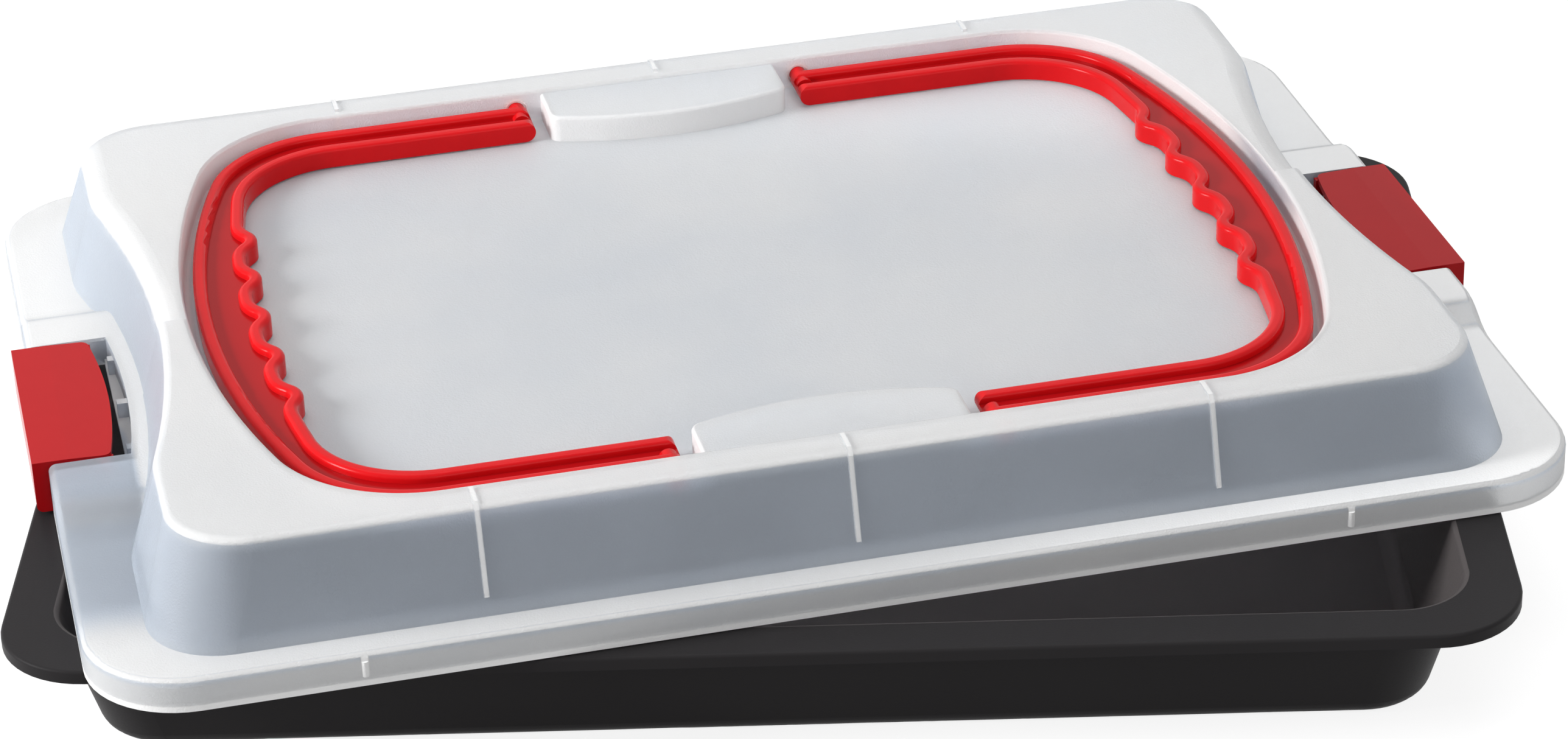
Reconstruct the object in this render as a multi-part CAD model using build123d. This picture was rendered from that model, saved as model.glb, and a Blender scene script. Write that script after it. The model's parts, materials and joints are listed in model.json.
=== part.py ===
"""Baking tray with a turned-aside carrying lid.

The tray is pressed sheet metal with a flat rim and a down-turned edge. The lid is a thin
moulded shell: a skirt and flange, a raised dome, a recess for two folding handles, and a
raised hump with a notch at each short end for a swinging clasp. The lid lies loose on the
rim, turned out of line with the tray.

Millimetres. The origin is the centre of the tray's underside, with +X along its length and
+Z up. The lid group is modelled in its own frame, whose origin is the centre of its skirt's
bottom edge, and is then turned and set down on the rim.
"""
from build123d import *
import math
import os

# Tray
tray_length = 420.0
tray_width = 298.0
tray_height = 40.0
rim_width = 14.6
rim_corner_radius = 26.1
mouth_corner_radius = 19.8
floor_corner_radius = 20.0
wall_draft = 12.5
sheet_thickness = 0.8
floor_edge_radius = 6.0
mouth_edge_radius = 1.4
rim_edge_radius = 1.0
bead_height = 3.9
bead_width = 2.0

# Lid set down on the tray
lid_shift_x = -4.6
lid_shift_y = 19.5
lid_turn = 13.29
rest_gap = 0.3

# Lid skirt and flange, which close over the tray's rim
lid_wall = 1.8
skirt_end_clearance = 1.2
skirt_side_clearance = 0.55
skirt_corner_clearance = 0.9
flange_height = 10.1
flange_edge_radius = 2.4
lid_length = tray_length + 2 * (lid_wall + skirt_end_clearance)
lid_width = tray_width + 2 * (lid_wall + skirt_side_clearance)
skirt_corner_radius = rim_corner_radius + lid_wall + skirt_corner_clearance

# Dome
end_shelf_width = 18.0
side_shelf_width = 9.35
dome_length = lid_length - 2 * end_shelf_width
dome_width = lid_width - 2 * side_shelf_width
dome_corner_radius = 22.0
dome_height = 40.0
dome_draft = 16.7
dome_edge_radius = 2.5
soft_edge_radius = 8.0
soft_edge_start_y = -3.0
soft_edge_step = 0.3
waist_depth = 11.0
waist_radius = 320.0
shoulder_radius = 40.0

# Pods between the handle ends
pod_half_length = 38.6
pod_depth = 24.9
pod_bow_radius = 115.0
pod_height = 8.6
pod_corner_radius = 4.0
pod_edge_radius = 1.2

# Handles
handle_end_border = 31.7
handle_side_border = 24.0
handle_reach = dome_length / 2 - handle_end_border
handle_half_width = dome_width / 2 - handle_side_border
handle_bow_radius = 293.0
handle_corner_radius = 40.0
handle_inner_radius = 32.0
handle_height = 6.5
handle_edge_radius = 1.5
arm_width = 14.0
arm_end_gap = 4.8
grip_width = 17.2
grip_bow_radius = 500.0
ridge_width = 4.2
channel_depth = 2.4
bump_count = 5
bump_spacing = 25.2
bump_radius = 8.0
bump_rise = 3.9
bump_blend_radius = 9.0
stub_radius = 2.7

# Recess for the handles
recess_depth = 10.3
recess_clearance = 3.4
recess_draft = 4.0
recess_edge_radius = 1.5
recess_floor_radius = 2.0
handle_floor_gap = 0.5
hole_clearance = 0.06
hole_ring_radius = 3.4
hole_ring_depth = 0.5

# Notch for each clasp, cut in a hump of the flange
notch_half_width = 36.5
notch_land = 2.7
notch_bow_radius = 271.0
notch_ledge_width = 3.5
notch_floor_drop = 0.9
notch_rib_count = 3
notch_rib_spacing = 27.5
notch_rib_thickness = 3.0
notch_rib_length = 3.1
notch_rib_height = 4.8
hump_rise = 6.5
hump_shoulder = 12.5
hump_ramp_length = 22.0

# Clasps, which hook under the tray's rim when the lid is down
clasp_side_gap = 1.1
clasp_inner_gap = 5.3
clasp_bow_radius = 209.0
clasp_overhang = 4.5
clasp_rise = 0.4
clasp_plate = 2.0
clasp_slope_run = 10.5
clasp_slope_drop = 0.6
clasp_face_depth = 4.4
clasp_face_wall = 2.2
clasp_edge_radius = 2.0
clasp_corner_radius = 2.5
hook_grip = 2.3
hook_height = 3.2
hook_clearance = 0.4
pin_inset = 4.5
pin_drop = 4.8
pin_radius = 1.5
pin_reach = 1.4
pin_clearance = 0.05
knuckle_radius = 2.4

# Ribs on the dome's long walls and pips on the skirt
rib_spacing = 104.0
rib_width = 1.4
rib_rise = 0.7
rib_foot_height = 15.5
pip_x = 139.6
pip_radius = 1.0
pip_foot_height = 3.0

mouth_half_x = tray_length / 2 - rim_width
mouth_half_y = tray_width / 2 - rim_width
lid_rest_height = tray_height + rest_gap
recess_floor = dome_height - recess_depth
pod_reach = handle_half_width + recess_clearance - pod_depth
handle_bottom = recess_floor + handle_floor_gap
arm_end_x = pod_half_length + arm_end_gap
handle_axis_x = arm_end_x + handle_height / 2
handle_axis_z = handle_bottom + handle_height / 2
stub_length = recess_clearance + lid_wall
notch_inner_x = dome_length / 2 - waist_depth + notch_land
notch_ledge_x = notch_inner_x + notch_ledge_width
notch_floor_height = flange_height - notch_floor_drop
clasp_half_width = notch_half_width - clasp_side_gap
clasp_inner_x = notch_inner_x + clasp_inner_gap
clasp_outer_x = lid_length / 2 + clasp_overhang
clasp_top = flange_height + hump_rise + clasp_rise
clasp_bottom = flange_height - lid_wall - bead_height - hook_clearance - hook_height
hook_reach = clasp_outer_x - clasp_face_depth - tray_length / 2 + hook_grip
pin_x = clasp_inner_x + pin_inset
pin_height = clasp_top - pin_drop


def centred_row(count, spacing):
    """Evenly spaced places, centred on nought."""
    return [spacing * (i - (count - 1) / 2) for i in range(count)]


def lean(angle, height):
    """Sideways travel of a wall drafted by angle over a height."""
    return height * math.tan(math.radians(angle))


def slab(plan, bottom, top):
    """Straight prism of a plan between two heights."""
    return Pos(0, 0, bottom) * extrude(plan, amount=top - bottom)


def drafted(lower_plan, bottom, upper_plan, top):
    """Solid with straight walls between two like plans."""
    return loft([Pos(0, 0, bottom) * lower_plan, Pos(0, 0, top) * upper_plan], ruled=True)


def at_height(shape, height):
    """Edges of a shape that lie flat at a height."""
    return shape.edges().filter_by_position(Axis.Z, height - 0.01, height + 0.01)


def is_within(edge, half_x, half_y):
    """True for an edge centred inside an oblong about the origin."""
    spot = edge.center()
    return abs(spot.X) < half_x and abs(spot.Y) < half_y


def barrel_plan(half_x, half_y, bow_radius, corner_radius):
    """Plan with straight long sides, bowed short ends and round corners."""
    end_x = half_x - bow_radius + math.sqrt(bow_radius**2 - half_y**2)
    outline = Line((-end_x, -half_y), (end_x, -half_y))
    outline += ThreePointArc((end_x, -half_y), (half_x, 0), (end_x, half_y))
    outline += Line((end_x, half_y), (-end_x, half_y))
    outline += ThreePointArc((-end_x, half_y), (-half_x, 0), (-end_x, -half_y))
    plan = make_face(outline)
    return fillet(plan.vertices(), corner_radius)


def waisted_plan(half_x, half_y, corner_radius, scoop_radius):
    """Plan of the dome: a round-cornered oblong with its short ends drawn in."""
    centre = half_x - waist_depth + scoop_radius
    scoop = Circle(scoop_radius)
    plan = RectangleRounded(2 * half_x, 2 * half_y, corner_radius)
    plan -= Pos(centre, 0) * scoop
    plan -= Pos(-centre, 0) * scoop
    shoulders = [v for v in plan.vertices() if abs(v.Y) < half_y - corner_radius - 1]
    return fillet(shoulders, shoulder_radius)


# Tray
def tray_pocket(inset, floor_radius):
    """The drafted pocket of the tray, drawn in by inset from its inner face."""
    depth = tray_height - sheet_thickness
    top = RectangleRounded(
        2 * (mouth_half_x - inset), 2 * (mouth_half_y - inset), mouth_corner_radius - inset
    )
    drop = lean(wall_draft, depth)
    bottom = RectangleRounded(
        2 * (mouth_half_x - inset - drop), 2 * (mouth_half_y - inset - drop), floor_corner_radius - inset
    )
    low = sheet_thickness + inset
    pocket = drafted(bottom, low, top, low + depth)
    return fillet(at_height(pocket, low), floor_radius)


def make_tray():
    """Sheet-metal tray with a flat rim and a down-turned edge."""
    rim_plan = RectangleRounded(tray_length, tray_width, rim_corner_radius)
    edge_hole = RectangleRounded(
        tray_length - 2 * bead_width, tray_width - 2 * bead_width, rim_corner_radius - bead_width
    )
    rim = slab(rim_plan, tray_height - bead_height, tray_height)
    rim -= slab(edge_hole, tray_height - bead_height, tray_height - sheet_thickness)
    outer = tray_pocket(-sheet_thickness, floor_edge_radius)
    inner = tray_pocket(0, floor_edge_radius - sheet_thickness)
    tray = rim + outer
    tray -= inner
    top_edges = at_height(tray, tray_height)
    mouth = [e for e in top_edges if is_within(e, mouth_half_x + 1, mouth_half_y + 1)]
    tray = fillet(mouth, mouth_edge_radius)
    top_edges = at_height(tray, tray_height)
    outline = [e for e in top_edges if not is_within(e, mouth_half_x + 4, mouth_half_y + 4)]
    return fillet(outline, rim_edge_radius)


# Lid
def flange_profile(inset):
    """Side profile of the flange, with its hump, seen along the lid's length."""
    low = flange_height - inset
    high = low + hump_rise
    flat = notch_half_width + hump_shoulder
    foot = flat + hump_ramp_length
    middle = (flat + foot) / 2
    edge = lid_width
    with BuildSketch(Plane.YZ) as profile:
        with BuildLine():
            Polyline((-foot, low), (-edge, low), (-edge, -edge), (edge, -edge), (edge, low), (foot, low))
            TangentArc((foot, low), (middle, (low + high) / 2), tangent=(-1, 0))
            TangentArc((flat, high), (middle, (low + high) / 2), tangent=(1, 0))
            Line((flat, high), (-flat, high))
            TangentArc((-flat, high), (-middle, (low + high) / 2), tangent=(-1, 0))
            TangentArc((-foot, low), (-middle, (low + high) / 2), tangent=(1, 0))
        make_face()
    return extrude(profile.sketch, amount=lid_length, both=True)


def flange_form(inset):
    """Solid form of skirt, flange and humps, drawn in by inset."""
    plan = RectangleRounded(
        lid_length - 2 * inset, lid_width - 2 * inset, skirt_corner_radius - inset
    )
    block = slab(plan, -inset, flange_height + 2 * hump_rise)
    return block & flange_profile(inset)


def outline_top_edges(block):
    """Edges round the top of the flange form, without those across it."""
    ramp_end = notch_half_width + hump_shoulder + hump_ramp_length + 1
    top = [e for e in block.edges() if e.center().Z > flange_height - 0.1]
    return [e for e in top if abs(e.center().X) > 1 or abs(e.center().Y) > ramp_end]


def dome_plan(height, inset):
    """Plan of the dome at a height, drawn in by inset."""
    lean_in = lean(dome_draft, height - flange_height) + inset
    half_x = dome_length / 2 - lean_in
    half_y = dome_width / 2 - lean_in
    return waisted_plan(half_x, half_y, dome_corner_radius - inset, waist_radius + lean_in)


def dome_form(inset):
    """Solid form of the dome, drawn in by inset."""
    side_inset = inset / math.cos(math.radians(dome_draft))
    top = dome_height - inset
    form = drafted(dome_plan(0, side_inset), 0, dome_plan(top, side_inset), top)
    return fillet(at_height(form, top), dome_edge_radius - inset)


def soft_edge_waste(inset):
    """Waste outside the dome's softly rounded ends, behind the step that crosses its top."""
    side_inset = (inset + soft_edge_step) / math.cos(math.radians(dome_draft))
    top = dome_height - inset - soft_edge_step
    plans = []
    for height in (0, top):
        lean_in = lean(dome_draft, height - flange_height) + side_inset
        half_x = dome_length / 2 - lean_in
        plans.append(waisted_plan(half_x, dome_width, dome_corner_radius, waist_radius + lean_in))
    kept = drafted(plans[0], 0, plans[1], top)
    kept = fillet(at_height(kept, top), soft_edge_radius - inset)
    reach = dome_width / 2 + 1
    block = Box(dome_length + 2, reach, dome_height, align=(Align.CENTER, Align.MIN, Align.MIN))
    return Pos(0, soft_edge_start_y, 0.5) * block - kept


def recess_form(grow):
    """Space cut for the handles, grown by grow, and left full where the pods stand."""
    floor = recess_floor - grow
    top = dome_height + 5
    spread = recess_clearance + grow
    at_floor = spread - lean(recess_draft, recess_depth)
    at_top = spread + lean(recess_draft, top - dome_height)
    space = drafted(handle_plan(at_floor), floor, handle_plan(at_top), top)
    space = fillet(at_height(space, floor), recess_floor_radius + grow)
    for side in (1, -1):
        space -= pod_form(grow, side)
    return space


def pod_form(shrink, side):
    """One pod beside the long wall, shrunk by shrink; side is 1 at the back, -1 in front."""
    reach = pod_reach + shrink
    depth = dome_width / 2 - reach
    plan = Pos(0, reach + depth / 2) * Rectangle(2 * (pod_half_length - shrink), depth)
    plan &= Pos(0, reach + pod_bow_radius) * Circle(pod_bow_radius)
    corners = [v for v in plan.vertices() if v.Y < reach + depth / 2]
    plan = fillet(corners, pod_corner_radius - shrink)
    top = recess_floor + pod_height - shrink
    pod = slab(plan, recess_floor - shrink - 5, top)
    rim = [e for e in at_height(pod, top) if e.center().Y < dome_width / 2 - 0.1]
    pod = fillet(rim, max(pod_edge_radius - shrink, 0.3))
    return pod if side > 0 else Rot(0, 0, 180) * pod


def notch_form(grow, side):
    """Space cut for one clasp, grown by grow; side is 1 on the right, -1 on the left."""
    depth = lid_length / 2
    plan = Pos(notch_inner_x - grow + depth / 2, 0) * Rectangle(depth, 2 * (notch_half_width + grow))
    plan &= Pos(notch_inner_x - grow + notch_bow_radius, 0) * Circle(notch_bow_radius)
    space = slab(plan, notch_floor_height - grow, dome_height)
    return space if side > 0 else Rot(0, 0, 180) * space


def notch_gap(side):
    """Way down past the notch's ledge, through the flange and skirt."""
    depth = lid_length / 2 + 5 - notch_ledge_x
    plan = Pos(notch_ledge_x + depth / 2, 0) * Rectangle(depth, 2 * notch_half_width)
    gap = slab(plan, -1, dome_height / 2)
    return gap if side > 0 else Rot(0, 0, 180) * gap


def notch_ribs(side):
    """Short ribs that stiffen the notch wall and stand on its ledge, clear of the clasp's swing."""
    length = notch_rib_length + lid_wall / 2
    height = notch_rib_height + lid_wall / 2
    corner = Align.MIN, Align.CENTER, Align.MIN
    block = Box(length, notch_rib_thickness, height, align=corner)
    rib = Pos(notch_inner_x - lid_wall / 2, 0, notch_floor_height - lid_wall / 2) * block
    row = [Pos(0, offset_y, 0) * rib for offset_y in centred_row(notch_rib_count, notch_rib_spacing)]
    return row if side > 0 else [Rot(0, 0, 180) * each for each in row]


def pin_holes(side):
    """Holes through the notch's two side walls for a clasp's stub pins."""
    bar = Rot(90, 0, 0) * Cylinder(pin_radius + pin_clearance, 2 * (notch_half_width + 2 * lid_wall))
    return Pos(side * pin_x, 0, pin_height) * bar


def handle_hole(side_x, side_y):
    """Hole in the recess wall for a handle's stub, with a shallow ring cut round it."""
    wall_y = handle_half_width + recess_clearance - lean(recess_draft, dome_height - handle_axis_z)
    hole = Pos(0, wall_y) * Rot(90, 0, 0) * Cylinder(stub_radius + hole_clearance, 4 * lid_wall)
    ring = Pos(0, wall_y) * Rot(90, 0, 0) * Cylinder(hole_ring_radius, 2 * hole_ring_depth)
    cut = Pos(handle_axis_x, 0, handle_axis_z) * (hole + ring)
    if side_y < 0:
        cut = mirror(cut, Plane.XZ)
    if side_x < 0:
        cut = mirror(cut, Plane.YZ)
    return cut


def wall_rib(x, side):
    """Thin upright rib that runs over the dome's top edge and down its long wall."""
    top_y = dome_width / 2 - lean(dome_draft, dome_height - flange_height)
    foot_y = dome_width / 2 - lean(dome_draft, rib_foot_height - flange_height)
    start_y = handle_half_width + recess_clearance + recess_edge_radius + 1
    outline = Polygon(
        (start_y, dome_height - rib_rise),
        (start_y, dome_height + rib_rise),
        (top_y - dome_edge_radius / 2, dome_height + rib_rise),
        (top_y + rib_rise, dome_height - dome_edge_radius / 2),
        (foot_y + rib_rise, rib_foot_height),
        (foot_y - rib_rise, rib_foot_height),
        align=None,
    )
    rib = Pos(x, 0, 0) * extrude(Plane.YZ * outline, amount=rib_width / 2, both=True)
    return rib if side > 0 else mirror(rib, Plane.XZ)


def skirt_pip(x, side):
    """Small upright pip on the long side of the skirt."""
    height = flange_height - flange_edge_radius - pip_foot_height
    pip_y = lid_width / 2 - 0.3 * pip_radius
    pip = Pos(x, pip_y, pip_foot_height + height / 2) * Cylinder(pip_radius, height)
    return pip if side > 0 else mirror(pip, Plane.XZ)


def make_lid():
    """Thin moulded lid shell, in the lid's own frame."""
    skirt = flange_form(0)
    skirt = fillet(outline_top_edges(skirt), flange_edge_radius)
    dome = dome_form(0) - recess_form(0)
    edge_x = handle_reach + recess_clearance + 1
    edge_y = handle_half_width + recess_clearance + 1
    mouth = [e for e in at_height(dome, dome_height) if is_within(e, edge_x, edge_y)]
    dome = fillet(mouth, recess_edge_radius) - soft_edge_waste(0)
    outer = skirt + dome
    for side in (1, -1):
        for step in (-1, 0, 1):
            outer += wall_rib(step * rib_spacing, side)
        for x in (-pip_x, pip_x):
            outer += skirt_pip(x, side)
    hollow = dome_form(lid_wall) - recess_form(lid_wall) - soft_edge_waste(lid_wall)
    inner = flange_form(lid_wall) + hollow
    for side in (1, -1):
        outer -= notch_form(0, side)
        inner -= notch_form(lid_wall, side)
    shell = outer - inner
    for side in (1, -1):
        shell -= notch_gap(side)
        shell -= pin_holes(side)
        for rib in notch_ribs(side):
            shell += rib
    for side_x in (1, -1):
        for side_y in (1, -1):
            shell -= handle_hole(side_x, side_y)
    return shell


# Handles
def handle_plan(spread):
    """Outline round both folded handles, spread outwards."""
    return barrel_plan(
        handle_reach + spread,
        handle_half_width + spread,
        handle_bow_radius + spread,
        handle_corner_radius + spread,
    )


def handle_loop(end_x, inset):
    """Plan of one handle, two arms and a bumpy grip, drawn in by inset and cut off at end_x."""
    grip_x = handle_reach - grip_width
    hollow = barrel_plan(
        grip_x + inset,
        handle_half_width - arm_width + inset,
        grip_bow_radius + inset,
        handle_inner_radius + inset,
    )
    loop = handle_plan(-inset) - hollow
    bump_bow = grip_bow_radius - bump_rise + bump_radius
    bump_row = centred_row(bump_count, bump_spacing)
    for bump_y in bump_row:
        bump_x = grip_x - grip_bow_radius + math.sqrt(bump_bow**2 - bump_y**2)
        loop += Pos(bump_x, bump_y) * Circle(bump_radius - inset)
    loop &= Pos(end_x + tray_length / 2, 0) * Rectangle(tray_length, tray_width)
    grip_y = bump_row[-1] + bump_radius + 1
    roots = [v for v in loop.vertices() if v.X > grip_x - grip_width and abs(v.Y) < grip_y]
    return fillet(roots, bump_blend_radius + inset)


def end_rounding():
    """Waste round a handle's arm ends, outside a full round about the hinge line."""
    low_corner = Align.MIN, Align.CENTER, Align.CENTER
    block = Box(handle_height / 2 + 1, 3 * handle_half_width, handle_height + 2, align=low_corner)
    waste = Pos(arm_end_x - 1, 0, handle_axis_z) * block
    bar = Rot(90, 0, 0) * Cylinder(handle_height / 2, 4 * handle_half_width)
    return waste - Pos(handle_axis_x, 0, handle_axis_z) * bar


def make_handle():
    """Right-hand folding handle, lying flat in the recess, in the lid's frame."""
    top = handle_bottom + handle_height
    body = slab(handle_loop(arm_end_x, 0), handle_bottom, top)
    channel = handle_loop(arm_end_x - 1, ridge_width)
    body -= slab(channel, top - channel_depth, top + 1)
    ridges = [e for e in at_height(body, top) if e.center().X > arm_end_x + 0.01]
    body = fillet(ridges, handle_edge_radius)
    body -= end_rounding()
    arm_y = handle_half_width - arm_width / 2
    stub_run = arm_width / 2 + stub_length
    for side in (1, -1):
        stub = Cylinder(stub_radius, stub_run, align=(Align.CENTER, Align.CENTER, Align.MIN))
        body += Pos(handle_axis_x, side * arm_y, handle_axis_z) * Rot(-90 * side, 0, 0) * stub
    return body


# Clasps
def make_clasp():
    """Right-hand clasp with its moulded pin, closed, in the lid's frame."""
    inner_face = clasp_outer_x - clasp_face_depth
    slope_start_x = clasp_outer_x - clasp_slope_run
    with BuildSketch(Plane.XZ) as section:
        with BuildLine():
            Polyline(
                (clasp_inner_x - 1, clasp_top - clasp_slope_drop),
                (slope_start_x, clasp_top),
                (clasp_outer_x, clasp_top),
                (clasp_outer_x, clasp_bottom),
                (inner_face - hook_reach, clasp_bottom),
                (inner_face - hook_reach, clasp_bottom + hook_height / 2),
                (inner_face, clasp_bottom + hook_height),
                (inner_face, clasp_top - clasp_plate),
                (slope_start_x, clasp_top - clasp_plate),
                (clasp_inner_x - 1, clasp_top - clasp_slope_drop - clasp_plate),
                close=True,
            )
        make_face()
        edge = section.vertices().group_by(Axis.X)[-1].sort_by(Axis.Z)[-1]
        fillet(edge, clasp_edge_radius)
    body = extrude(section.sketch, amount=clasp_half_width, both=True)
    depth = clasp_outer_x - clasp_inner_x + 1
    plan = Pos(clasp_inner_x + depth / 2, 0) * Rectangle(depth, 2 * clasp_half_width)
    plan &= Pos(clasp_inner_x + clasp_bow_radius, 0) * Circle(clasp_bow_radius)
    plan = fillet([v for v in plan.vertices() if v.X < pin_x], clasp_corner_radius)
    body &= slab(plan, 0, 2 * clasp_top)
    pocket_height = clasp_top - clasp_plate - clasp_bottom - hook_height
    pocket = Box(clasp_face_depth, 2 * (clasp_half_width - clasp_face_wall), pocket_height)
    pocket_x = inner_face + (clasp_face_depth - clasp_face_wall) - clasp_face_depth / 2
    body -= Pos(pocket_x, 0, clasp_bottom + hook_height + pocket_height / 2) * pocket
    cheek_y = clasp_half_width - clasp_face_wall / 2
    for side in (1, -1):
        body += Pos(0, side * cheek_y, 0) * cheek_form()
    pin = Cylinder(pin_radius, 2 * (notch_half_width + pin_reach))
    pin -= Cylinder(2 * pin_radius, 2 * (clasp_half_width - clasp_face_wall))
    body += Pos(pin_x, 0, pin_height) * Rot(90, 0, 0) * pin
    return body


def cheek_form():
    """End wall under the clasp's plate that carries a stub pin, centred on its thickness."""
    reach = clasp_outer_x - clasp_face_depth - pin_x + 1
    plate_under = clasp_top - clasp_slope_drop - clasp_plate / 2
    low = pin_height - knuckle_radius
    wall = Box(reach, clasp_face_wall, plate_under - low)
    cheek = Pos(pin_x + reach / 2, 0, (plate_under + low) / 2) * wall
    boss = Box(2 * knuckle_radius, clasp_face_wall, plate_under - pin_height)
    cheek += Pos(pin_x, 0, (plate_under + pin_height) / 2) * boss
    cheek += Pos(pin_x, 0, pin_height) * Rot(90, 0, 0) * Cylinder(knuckle_radius, clasp_face_wall)
    return cheek


def on_tray(shape):
    """Turn a piece of the lid group and set it down on the rim."""
    return Pos(lid_shift_x, lid_shift_y, lid_rest_height) * Rot(0, 0, lid_turn) * shape


def make_parts():
    """Every named piece, in place."""
    handle = make_handle()
    clasp = make_clasp()
    half_turn = Rot(0, 0, 180)
    return {
        "tray": make_tray(),
        "lid": on_tray(make_lid()),
        "handle_right": on_tray(handle),
        "handle_left": on_tray(half_turn * handle),
        "clasp_right": on_tray(clasp),
        "clasp_left": on_tray(half_turn * clasp),
    }


if __name__ == "__main__":
    os.makedirs("parts", exist_ok=True)
    for node, shape in make_parts().items():
        shape.label = node
        export_step(shape, f"parts/{node}.step")
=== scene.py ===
"""Looks of the baking tray with its turned-aside lid: materials, fine detail, light and camera.

Metres. The CAD model gives every shape. Each material finds its regions, such as the lid's milky
border, ribs and lip, by their places in the lid's own frame, whose origin is the centre of the
skirt's bottom edge.
"""
import bpy
import json
import math
from mathutils import Matrix, Vector


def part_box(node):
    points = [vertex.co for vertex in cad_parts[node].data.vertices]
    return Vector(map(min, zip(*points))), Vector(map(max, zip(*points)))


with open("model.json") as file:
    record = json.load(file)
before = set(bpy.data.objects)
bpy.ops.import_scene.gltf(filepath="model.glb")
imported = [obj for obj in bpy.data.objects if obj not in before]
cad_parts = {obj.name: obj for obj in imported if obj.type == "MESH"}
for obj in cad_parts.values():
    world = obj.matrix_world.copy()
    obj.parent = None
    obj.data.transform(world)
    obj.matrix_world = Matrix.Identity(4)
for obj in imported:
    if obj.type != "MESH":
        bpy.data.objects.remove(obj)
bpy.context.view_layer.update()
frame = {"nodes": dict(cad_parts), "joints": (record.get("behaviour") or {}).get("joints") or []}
nodes = frame["nodes"]
joints = {joint["name"]: joint for joint in frame["joints"]}
scene = bpy.context.scene

# The lid's own frame, found from the handles' hinges, which stand on either side of its middle
right_hinge = joints["handle_right_hinge"]
left_hinge = joints["handle_left_hinge"]
hinge_middle = (Vector(right_hinge["pos_m"]) + Vector(left_hinge["pos_m"])) / 2
hinge_half_spacing = math.dist(right_hinge["pos_m"], left_hinge["pos_m"]) / 2
skirt_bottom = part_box("lid")[0].z
lid_place = Vector((hinge_middle.x, hinge_middle.y, skirt_bottom))
lid_turn = math.atan2(right_hinge["axis"][0], -right_hinge["axis"][1])
hinge_height = hinge_middle.z - skirt_bottom
tray_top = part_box("tray")[1].z

# Spans, each from where a region starts to where it is complete: the flange's top below, and the
# recess inside the dome's border, measured from the lid's middle
FLANGE_TOP = (0.0172, 0.0180)
RECESS_ALONG = (0.164, 0.168)
RECESS_ACROSS = (0.121, 0.123)


class NodeMaker:
    """Adds nodes to a material's or a world's tree and links them."""

    def __init__(self, owner, output_kind):
        owner.use_nodes = True
        self.tree = owner.node_tree
        self.tree.nodes.clear()
        self.surface = self.add(output_kind).inputs["Surface"]

    def add(self, kind, **settings):
        node = self.tree.nodes.new(kind)
        for key, value in settings.items():
            setattr(node, key, value)
        return node

    def link(self, source, target):
        self.tree.links.new(source, target)

    def feed(self, target, source):
        """Links a socket to the target, or sets the target to a plain number or colour."""
        if isinstance(source, bpy.types.NodeSocket):
            self.link(source, target)
        else:
            target.default_value = source

    def math(self, operation, a, b=0.0, clamp=False):
        node = self.add("ShaderNodeMath", operation=operation, use_clamp=clamp)
        self.feed(node.inputs[0], a)
        self.feed(node.inputs[1], b)
        return node.outputs[0]

    def plus(self, a, b, clamp=False):
        return self.math("ADD", a, b, clamp)

    def minus(self, a, b, clamp=False):
        return self.math("SUBTRACT", a, b, clamp)

    def times(self, first, *others):
        for other in others:
            first = self.math("MULTIPLY", first, other)
        return first

    def most(self, first, *others):
        for other in others:
            first = self.math("MAXIMUM", first, other)
        return first

    def without(self, a, clamp=False):
        return self.minus(1.0, a, clamp)

    def absolute(self, a):
        return self.math("ABSOLUTE", a)

    def above(self, source, span):
        """Nought up to the first number of the span, and one from the second on."""
        node = self.add("ShaderNodeMapRange", clamp=True, interpolation_type="SMOOTHSTEP")
        self.feed(node.inputs[0], source)
        self.feed(node.inputs[1], span[0])
        self.feed(node.inputs[2], span[1])
        return node.outputs[0]

    def below(self, source, span):
        return self.without(self.above(source, span))

    def near(self, source, centre, span):
        """One close to the centre, and nought further off than the span says."""
        return self.below(self.absolute(self.minus(source, centre)), span)

    def distance(self, u, v, centre_u, centre_v):
        du = self.minus(u, centre_u)
        dv = self.minus(v, centre_v)
        return self.math("SQRT", self.plus(self.times(du, du), self.times(dv, dv)))

    def mix(self, factor, a, b):
        node = self.add("ShaderNodeMix", data_type="RGBA")
        self.feed(node.inputs[0], factor)
        self.feed(node.inputs[6], a)
        self.feed(node.inputs[7], b)
        return node.outputs[2]

    def noise(self, vector, scale, detail, roughness):
        node = self.add("ShaderNodeTexNoise")
        self.link(vector, node.inputs["Vector"])
        node.inputs["Scale"].default_value = scale
        node.inputs["Detail"].default_value = detail
        node.inputs["Roughness"].default_value = roughness
        return node.outputs["Fac"]

    def bump(self, height, strength, distance):
        node = self.add("ShaderNodeBump")
        node.inputs["Strength"].default_value = strength
        node.inputs["Distance"].default_value = distance
        self.link(height, node.inputs["Height"])
        return node.outputs["Normal"]

    def split(self, vector):
        node = self.add("ShaderNodeSeparateXYZ")
        self.link(vector, node.inputs[0])
        return node.outputs

    def principled(self, **inputs):
        shader = self.add("ShaderNodeBsdfPrincipled")
        for key, value in inputs.items():
            self.feed(shader.inputs[key.replace("_", " ")], value)
        self.link(shader.outputs[0], self.surface)

    def background_seen(self):
        """One for the rays that show the background: from the camera, off gloss or through glass."""
        path = self.add("ShaderNodeLightPath").outputs
        seen = self.plus(path["Is Camera Ray"], path["Is Glossy Ray"], clamp=True)
        return self.plus(seen, path["Is Transmission Ray"], clamp=True)


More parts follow.
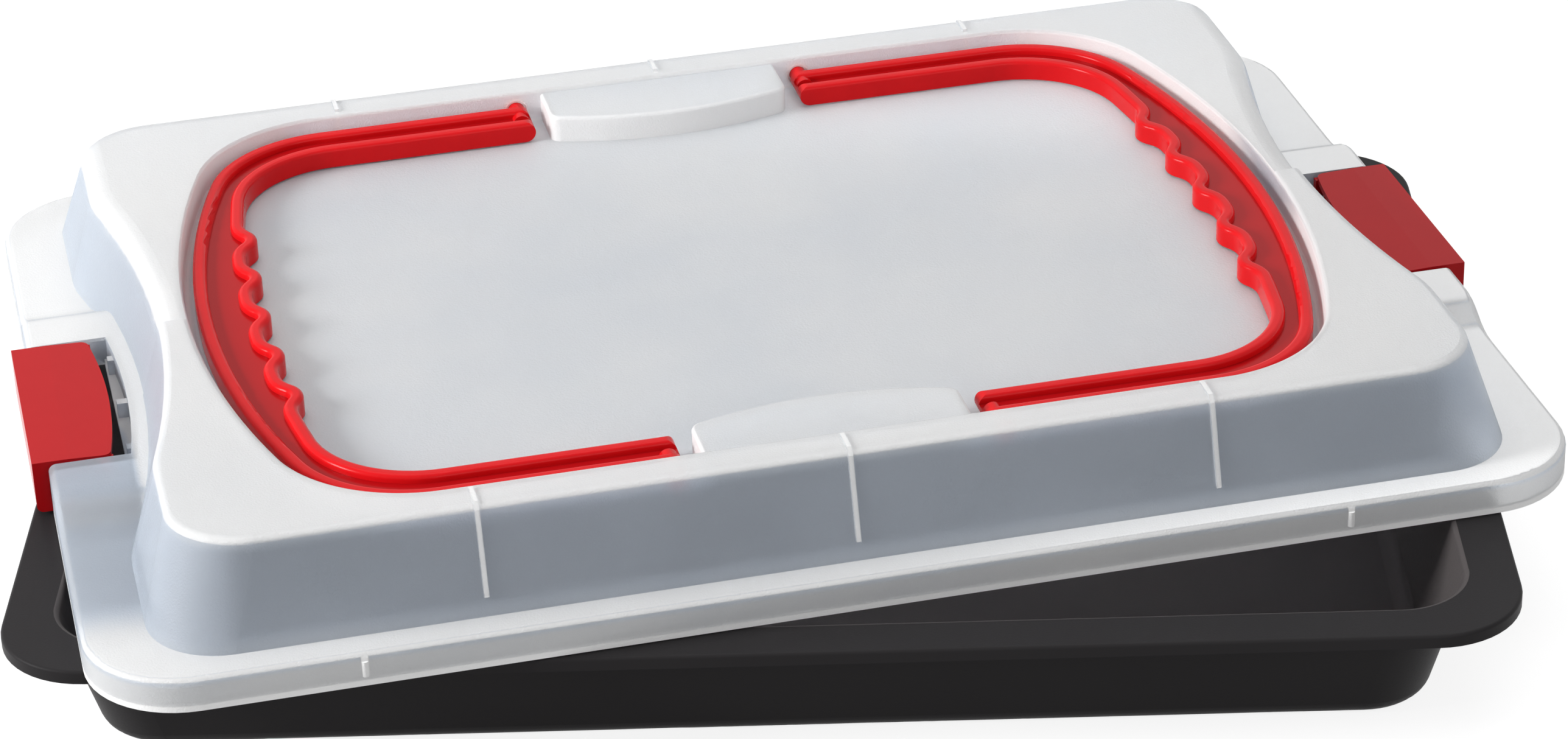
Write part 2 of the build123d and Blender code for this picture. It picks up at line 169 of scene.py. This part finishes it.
class LidCoordinates:
    """A point's place in the lid's own frame, and how far its face looks up or down."""

    level_tilt = (0.30, 0.60)
    flat_tilt = (0.90, 0.98)

    def __init__(self, maker):
        coords = maker.add("ShaderNodeTexCoord").outputs
        shift = maker.add("ShaderNodeVectorMath", operation="SUBTRACT")
        maker.link(coords["Object"], shift.inputs[0])
        shift.inputs[1].default_value = lid_place
        turn = maker.add("ShaderNodeVectorRotate", rotation_type="Z_AXIS")
        maker.link(shift.outputs[0], turn.inputs["Vector"])
        turn.inputs["Angle"].default_value = -lid_turn
        self.point = turn.outputs[0]
        self.x, self.y, self.z = maker.split(self.point)
        self.along = maker.absolute(self.x)
        self.across = maker.absolute(self.y)
        self.tilt = maker.absolute(maker.split(coords["Normal"])[2])
        self.level = maker.above(self.tilt, self.level_tilt)
        self.flat = maker.above(self.tilt, self.flat_tilt)


def border_milk(m, lid):
    """The dome's top border, milkier on its level faces."""
    height = (0.0320, 0.0386)
    upright_milk = 0.33
    level_gain = 0.20
    milk = m.plus(upright_milk, m.times(lid.level, level_gain))
    return m.times(m.above(lid.z, height), milk)


def recess_share(m, lid):
    """The panel and the recess walls inside the dome's border."""
    panel_height = (0.0268, 0.0274)
    in_plan = m.times(m.below(lid.along, RECESS_ALONG), m.below(lid.across, RECESS_ACROSS))
    return m.times(in_plan, m.above(lid.z, panel_height))


def recess_milk(m, lid, recess):
    """The recess walls, milkier than the level panel between them: painted light that lifts the
    handles' shade on them.
    """
    upright_milk = 0.66
    level_loss = 0.22
    return m.times(recess, m.minus(upright_milk, m.times(lid.level, level_loss)))


def pod_share(m, lid):
    """The two pods between the handle ends."""
    half_length = (0.0392, 0.0400)
    inner_side = (0.0935, 0.0945)
    foot_height = (0.0298, 0.0302)
    in_plan = m.times(m.below(lid.along, half_length), m.above(lid.across, inner_side))
    return m.times(in_plan, m.below(lid.across, RECESS_ACROSS), m.above(lid.z, foot_height))


def flange_milk(m, lid):
    """The flange's flat top, milkier toward the right as painted light, where the dome keeps the
    left lamp off.
    """
    right_side = (-0.05, 0.20)
    left_milk = 0.60
    right_painted_light_gain = 0.34
    milk = m.plus(left_milk, m.times(m.above(lid.x, right_side), right_painted_light_gain))
    return m.times(lid.flat, m.below(lid.z, FLANGE_TOP), milk)


def wall_milk(m, lid):
    """The skirt, the foot of the dome's walls, and the dome's ends."""
    skirt_height = (0.0070, 0.0110)
    skirt_milk = 0.48
    foot_height = (0.0110, 0.0220)
    foot_milk = 0.30
    end_along = (0.150, 0.178)
    end_milk = 0.28
    skirt = m.times(m.below(lid.z, skirt_height), skirt_milk)
    foot = m.times(m.below(lid.z, foot_height), foot_milk)
    ends = m.times(m.above(lid.along, end_along), end_milk)
    return m.most(skirt, foot, ends)


def bend_share(m, lid):
    """The rounded edges, which lean but are neither upright nor flat, where highlights are painted.
    """
    leaning = (0.36, 0.62)
    nearly_flat = (0.90, 0.985)
    return m.times(m.above(lid.tilt, leaning), m.below(lid.tilt, nearly_flat))


def left_clasp_shade_share(m, lid):
    """The flange in front of the left clasp, where x and y together are lowest; painted shade goes
    here.
    """
    clasp_along = (0.186, 0.192)
    clasp_across = (0.090, 0.135)
    corner_sum = (-0.205, -0.190)
    in_plan = m.times(m.above(lid.along, clasp_along), m.below(lid.across, clasp_across))
    on_left = m.below(m.plus(lid.x, lid.y), corner_sum)
    return m.times(in_plan, m.below(lid.z, FLANGE_TOP), on_left)


def lip_share(m, lid):
    """The skirt's bottom edge, made whiter as painted light: the glow of light carried along it."""
    height = (0.0016, 0.0022)
    return m.below(lid.z, height)


def rib_share(m, lid):
    """The upright ribs: one in the middle of each long wall and one on each side of it."""
    spacing = 0.104
    half_width = (0.0004, 0.0010)
    wall = (0.1225, 0.1230)
    foot_height = (0.0150, 0.0155)
    middle = m.below(lid.along, half_width)
    outer = m.near(lid.along, spacing, half_width)
    on_wall = m.times(m.above(lid.across, wall), m.above(lid.z, foot_height))
    return m.times(m.most(middle, outer), on_wall)


def pip_share(m, lid):
    """The small pips on the skirt's long sides."""
    off_middle = 0.1396
    half_width = (0.0008, 0.0013)
    skirt_side = (0.1506, 0.1510)
    foot_height = (0.0028, 0.0032)
    on_skirt = m.times(m.above(lid.across, skirt_side), m.above(lid.z, foot_height))
    return m.times(m.near(lid.along, off_middle, half_width), on_skirt)


def ring_share(m, lid):
    """The rings round the handles' stub holes, in the recess walls."""
    radius = (0.0036, 0.0044)
    recess_wall = 0.1215
    wall_reach = (0.0020, 0.0030)
    off_centre = m.distance(lid.along, lid.z, hinge_half_spacing, hinge_height)
    return m.times(m.below(off_centre, radius), m.near(lid.across, recess_wall, wall_reach))


def frosted_plastic():
    """Frosted, translucent moulded plastic, milkier along its edges; the whiter rounded edges are
    painted highlight and the whiter lip is painted light.

    Milk runs from 0, clear, to 1, opaque.
    """
    clear = (0.76, 0.82, 0.90, 1.0)
    milky = (0.89, 0.89, 0.89, 1.0)
    white = (0.98, 0.98, 0.98, 1.0)
    milky_from = (0.25, 0.55)
    white_flange_from = (0.60, 0.90)
    edge_highlight_white = 0.35
    pod_side_milk = 0.68
    pod_top_loss = 0.04
    edge_highlight_milk = 0.58
    clasp_shade_loss = 0.92
    lip_painted_glow_milk = 0.95
    rib_milk = 0.66
    pip_milk = 0.80
    ring_milk = 0.95
    least_milk = 0.215
    cloud_milk = 0.14
    mean_cloud = 0.5
    least_roughness = 0.46
    border_roughness = 0.16

    material = bpy.data.materials.new("frosted_plastic")
    m = NodeMaker(material, "ShaderNodeOutputMaterial")
    lid = LidCoordinates(m)
    grain = m.noise(lid.point, scale=1700.0, detail=2.0, roughness=0.6)
    cloud = m.noise(lid.point, scale=18.0, detail=3.0, roughness=0.5)

    # Broad regions
    border = border_milk(m, lid)
    recess = recess_share(m, lid)
    flange = flange_milk(m, lid)
    edge_highlight = bend_share(m, lid)
    pods = pod_share(m, lid)
    pod_sides = m.times(pods, m.without(lid.flat), pod_side_milk)
    pod_tops = m.times(pods, lid.flat, pod_top_loss)
    milk = m.minus(m.most(border, recess_milk(m, lid, recess), pod_sides), pod_tops)
    # Painted highlight: the rounded edges are milkier here and whiter below, standing in for the
    # bright lines that light gives along them.
    milk = m.most(milk, flange, wall_milk(m, lid), m.times(edge_highlight, edge_highlight_milk))
    # Painted shade: the flange in front of the left clasp loses milk and so shows darker.
    milk = m.times(milk, m.without(m.times(left_clasp_shade_share(m, lid), clasp_shade_loss)))

    # Lip, ribs, pips and stub rings, whiter than what is round them; the lip's white is painted
    # light
    lip = lip_share(m, lid)
    ribs = rib_share(m, lid)
    pips = pip_share(m, lid)
    ring = ring_share(m, lid)
    milk = m.most(milk, m.times(lip, lip_painted_glow_milk), m.times(ribs, rib_milk))
    milk = m.most(milk, m.times(pips, pip_milk), m.times(ring, ring_milk), least_milk)
    milk = m.plus(milk, m.times(m.minus(cloud, mean_cloud), cloud_milk))

    # Painted light: the recess walls are made white to lift the handles' shade on them.
    recess_wall = m.times(recess, m.without(lid.level))
    whiteness = m.most(lip, ring, ribs, pips, recess_wall, m.times(edge_highlight, edge_highlight_white))
    # Painted light: the flange turns whiter where it is milkiest, on its right part.
    whiteness = m.most(whiteness, m.above(flange, white_flange_from))
    colour = m.mix(m.above(milk, milky_from), clear, milky)
    m.principled(
        Base_Color=m.mix(whiteness, colour, white),
        Roughness=m.plus(least_roughness, m.times(border, border_roughness)),
        IOR=1.35,
        Transmission_Weight=m.without(milk, clamp=True),
        Specular_IOR_Level=0.4,
        Normal=m.bump(grain, strength=0.45, distance=0.0003),
    )
    return material


def red_plastic():
    """Glossy red moulded plastic with a faint swirl, and painted shade that darkens the handles'
    channel.
    """
    dark_red = (0.58, 0.005, 0.008, 1.0)
    light_red = (0.70, 0.010, 0.013, 1.0)
    channel_shade_red = (0.40, 0.004, 0.006, 1.0)
    clasp_red = (0.34, 0.005, 0.007, 1.0)
    channel_height = 0.0344
    channel_reach = (0.0006, 0.0016)
    channel_tilt = (0.55, 0.90)
    clasp_top = (0.020, 0.024)
    clasp_share = 0.7

    material = bpy.data.materials.new("red_plastic")
    m = NodeMaker(material, "ShaderNodeOutputMaterial")
    lid = LidCoordinates(m)
    cloud = m.noise(lid.point, scale=60.0, detail=3.0, roughness=0.6)
    grain = m.noise(lid.point, scale=1800.0, detail=1.0, roughness=0.5)
    # Painted shade: the channel between the ridges is darkened where the ridges shade it.
    channel = m.times(m.near(lid.z, channel_height, channel_reach), m.above(lid.tilt, channel_tilt))
    clasps = m.times(m.below(lid.z, clasp_top), clasp_share)
    colour = m.mix(channel, m.mix(cloud, dark_red, light_red), channel_shade_red)
    m.principled(
        Base_Color=m.mix(clasps, colour, clasp_red),
        Roughness=0.21,
        IOR=1.5,
        Specular_IOR_Level=0.10,
        Normal=m.bump(grain, strength=0.10, distance=0.0001),
    )
    return material


def tray_inside_share(m, place, facing):
    """One on the tray's floor and on its faces that look inward, and nought elsewhere."""
    inward = (-0.030, -0.010)
    floor_tilt = (0.3, 0.6)
    rim_depth = 0.002
    below_rim = (tray_top - 2 * rim_depth, tray_top - rim_depth)
    outward = m.plus(m.times(place[0], facing[0]), m.times(place[1], facing[1]))
    floor = m.times(m.above(facing[2], floor_tilt), m.below(place[2], below_rim))
    return m.most(m.below(outward, inward), floor)


def coated_steel():
    """Dark non-stick coat on pressed sheet steel, lighter inside the tray as painted light that
    lifts the lid's shade there.
    """
    outer_colours = ((0.019, 0.0175, 0.0185, 1.0), (0.025, 0.0235, 0.0245, 1.0))
    inner_painted_light_colours = ((0.068, 0.061, 0.061, 1.0), (0.090, 0.081, 0.081, 1.0))
    least_roughness = 0.42
    speck_roughness = 0.12

    material = bpy.data.materials.new("coated_steel")
    m = NodeMaker(material, "ShaderNodeOutputMaterial")
    coords = m.add("ShaderNodeTexCoord").outputs
    speck = m.noise(coords["Object"], scale=1500.0, detail=2.0, roughness=0.6)
    cloud = m.noise(coords["Object"], scale=14.0, detail=3.0, roughness=0.5)
    # Painted light: the floor and inward faces are lighter, lifting the shade the lid casts into the
    # tray.
    inside = tray_inside_share(m, m.split(coords["Object"]), m.split(coords["Normal"]))
    m.principled(
        Base_Color=m.mix(inside, m.mix(cloud, *outer_colours), m.mix(cloud, *inner_painted_light_colours)),
        Roughness=m.plus(least_roughness, m.times(speck, speck_roughness)),
        IOR=1.5,
        Specular_IOR_Level=0.07,
        Normal=m.bump(speck, strength=0.12, distance=0.0002),
    )
    return material


def dress(material, *names):
    for name in names:
        slots = nodes[name].data.materials
        slots.clear()
        slots.append(material)


dress(frosted_plastic(), "lid")
dress(red_plastic(), "handle_left", "handle_right", "clasp_left", "clasp_right")
dress(coated_steel(), "tray")


def pale_floor():
    """Pale ground that shows white to the camera and still keeps the shadow."""
    grey = 0.34
    glow_strength = 0.83
    material = bpy.data.materials.new("pale_floor")
    m = NodeMaker(material, "ShaderNodeOutputMaterial")
    diffuse = m.add("ShaderNodeBsdfDiffuse")
    diffuse.inputs["Color"].default_value = (grey, grey, grey, 1.0)
    glow = m.add("ShaderNodeEmission")
    m.link(m.times(m.background_seen(), glow_strength), glow.inputs["Strength"])
    total = m.add("ShaderNodeAddShader")
    m.link(diffuse.outputs[0], total.inputs[0])
    m.link(glow.outputs[0], total.inputs[1])
    m.link(total.outputs[0], m.surface)
    return material


def add_floor(span=6.0, drop=0.0002):
    corners = [(-span, -span, 0), (span, -span, 0), (span, span, 0), (-span, span, 0)]
    mesh = bpy.data.meshes.new("floor")
    mesh.from_pydata(corners, [], [(0, 1, 2, 3)])
    mesh.materials.append(pale_floor())
    floor = bpy.data.objects.new("floor", mesh)
    floor.location.z = -drop
    scene.collection.objects.link(floor)


def add_world(sky_strength=0.45):
    """Soft even sky that lights the object, and plain white where the background is seen."""
    white = (1.0, 1.0, 1.0, 1.0)
    world = bpy.data.worlds.new("studio")
    m = NodeMaker(world, "ShaderNodeOutputWorld")
    mixer = m.add("ShaderNodeMixShader")
    m.link(m.background_seen(), mixer.inputs[0])
    for socket, strength in ((mixer.inputs[1], sky_strength), (mixer.inputs[2], 1.0)):
        background = m.add("ShaderNodeBackground")
        background.inputs["Color"].default_value = white
        background.inputs["Strength"].default_value = strength
        m.link(background.outputs[0], socket)
    m.link(mixer.outputs[0], m.surface)
    scene.world = world


def add_lamp(name, place, target, size, power):
    light = bpy.data.lights.new(name, "AREA")
    light.shape = "RECTANGLE"
    light.size, light.size_y = size
    light.energy = power
    lamp = bpy.data.objects.new(name, light)
    lamp.location = place
    toward = Vector(target) - Vector(place)
    lamp.rotation_euler = toward.to_track_quat("-Z", "Y").to_euler()
    scene.collection.objects.link(lamp)


add_floor()
add_world()
add_lamp("top", place=(0.0, 0.5, 1.6), target=(0.0, 0.05, 0.0), size=(1.6, 1.2), power=10.0)
add_lamp("left", place=(-1.5, -0.40, 0.72), target=(0.0, 0.0, 0.0), size=(0.5, 0.5), power=27.0)
add_lamp("front", place=(0.9, -1.8, 0.9), target=(0.0, 0.0, 0.0), size=(1.4, 1.0), power=6.5)


def add_camera():
    """The camera that took the photograph, fitted to the tray's and the lid's edges."""
    photo_width = 2576
    focal_pixels = 7271.9
    sensor_width = 36.0
    target = Vector((0.00608, 0.08305, 0.0))
    distance = 1.4215
    elevation = math.radians(28.84)
    azimuth = math.radians(0.75)
    roll = math.radians(-1.93)

    data = bpy.data.cameras.new("camera")
    data.sensor_fit = "HORIZONTAL"
    data.sensor_width = sensor_width
    data.lens = focal_pixels * sensor_width / photo_width
    data.clip_start = 0.05
    data.clip_end = 30.0
    right = Vector((math.cos(azimuth), math.sin(azimuth), 0.0))
    level_back = Vector((math.sin(azimuth), -math.cos(azimuth), 0.0))
    back = level_back * math.cos(elevation) + Vector((0.0, 0.0, math.sin(elevation)))
    up = back.cross(right)
    rolled_right = right * math.cos(roll) + up * math.sin(roll)
    rolled_up = up * math.cos(roll) - right * math.sin(roll)
    turn = Matrix((rolled_right, rolled_up, back)).transposed().to_4x4()
    camera = bpy.data.objects.new("camera", data)
    camera.matrix_world = Matrix.Translation(target + back * distance) @ turn
    scene.collection.objects.link(camera)
    scene.camera = camera


add_camera()
scene.view_settings.view_transform = "Standard"
